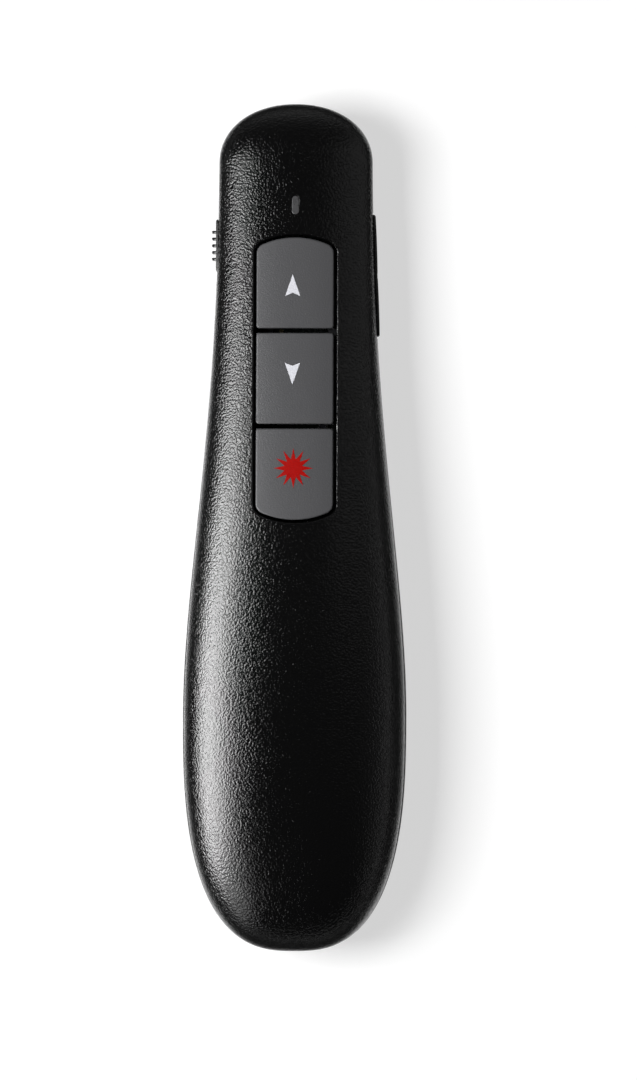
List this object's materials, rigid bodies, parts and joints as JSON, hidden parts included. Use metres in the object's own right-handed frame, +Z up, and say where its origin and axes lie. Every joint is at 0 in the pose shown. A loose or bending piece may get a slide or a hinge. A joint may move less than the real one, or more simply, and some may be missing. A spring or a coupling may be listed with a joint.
{
  "type": "wireless presentation clicker",
  "caption": "Handheld wireless presenter with a slim neck of page and laser keys, a power slide, a volume rocker, a sliding battery door and a stowed plug-in receiver.",
  "frame": {"origin": "on the surface it lies on, under the middle of its length and width", "axes": "+Y along the body to the laser nose, +Z up out of the keys, +X across to the side with the volume rocker"},
  "size_m": [0.0338, 0.1276, 0.025],
  "materials": {
    "shell": "fine spark-eroded texture",
    "keys": "soft matte",
    "side_controls": "satin",
    "plunger": "moulded",
    "switch_body": "moulded",
    "sheet_steel": "tinned",
    "spring_steel": "nickel plated",
    "screw_steel": "blackened",
    "board": "black solder mask",
    "chip": "moulded",
    "ceramic": "fired",
    "resistor": "glazed",
    "copper": "gold flash",
    "led": "clear cap",
    "light_pipe": "smoked",
    "window": "tinted",
    "lens": "polished",
    "barrel": "turned",
    "lead": "insulation",
    "cell": "printed sleeve",
    "plug": "nickel plated",
    "plug_plastic": "moulded"
  },
  "bodies": {
    "case": {"upper_shell": "shell", "lower_shell": "shell", "case_screws": "screw_steel", "page_up_switch": "switch_body", "page_down_switch": "switch_body", "laser_switch": "switch_body", "switch_covers": "sheet_steel", "power_switch": "sheet_steel", "rocker_pin": "spring_steel", "volume_up_switch": "switch_body", "volume_down_switch": "switch_body", "main_board": "board", "radio_chip": "chip", "crystal": "sheet_steel", "capacitors": "ceramic", "resistors": "resistor", "antenna": "copper", "status_led": "led", "light_pipe": "light_pipe", "laser_window": "window", "laser_barrel": "barrel", "laser_lens": "lens", "laser_diode": "spring_steel", "laser_board": "board", "laser_wires": "lead", "battery_left": "cell", "battery_right": "cell", "link_contact": "spring_steel", "link_spring": "spring_steel", "positive_contact": "spring_steel", "negative_contact": "spring_steel", "negative_spring": "spring_steel"},
    "page_up": {"page_up_key": "keys", "page_up_plunger": "plunger"},
    "page_down": {"page_down_key": "keys", "page_down_plunger": "plunger"},
    "laser_button": {"laser_key": "keys", "laser_plunger": "plunger"},
    "power_slide": {"power_knob": "side_controls", "power_lever": "plunger"},
    "volume": {"volume_rocker": "side_controls", "volume_plungers": "plunger"},
    "door": {"battery_door": "shell"},
    "receiver": {"receiver_cap": "shell", "receiver_plug": "plug", "receiver_tongue": "plug_plastic", "receiver_contacts": "copper"}
  },
  "joints": [
    {"name": "page_up_press", "type": "slide", "parent": "case", "child": "page_up", "axis": [0, 0, -1], "range_m": [0, 0.0005], "stiffness_N_per_m": 2500, "springref_m": -0.0002},
    {"name": "page_down_press", "type": "slide", "parent": "case", "child": "page_down", "axis": [0, 0, -1], "range_m": [0, 0.0005], "stiffness_N_per_m": 2500, "springref_m": -0.0002},
    {"name": "laser_press", "type": "slide", "parent": "case", "child": "laser_button", "axis": [0, 0, -1], "range_m": [0, 0.0005], "stiffness_N_per_m": 2500, "springref_m": -0.0002},
    {"name": "power_throw", "type": "slide", "parent": "case", "child": "power_slide", "axis": [0, -1, 0], "range_m": [0, 0.0014]},
    {"name": "volume_tilt", "type": "hinge", "parent": "case", "child": "volume", "pos_m": [0.00936, 0.038, 0.0123], "axis": [0, 0, 1], "range_deg": [-2.5, 2.5], "stiffness_Nm_per_rad": 0.3},
    {"name": "door_slide", "type": "slide", "parent": "case", "child": "door", "axis": [0, -1, 0], "range_m": [0, 0.05]},
    {"name": "receiver_pull", "type": "slide", "parent": "case", "child": "receiver", "axis": [0, -1, 0], "range_m": [0, 0.018]}
  ]
}
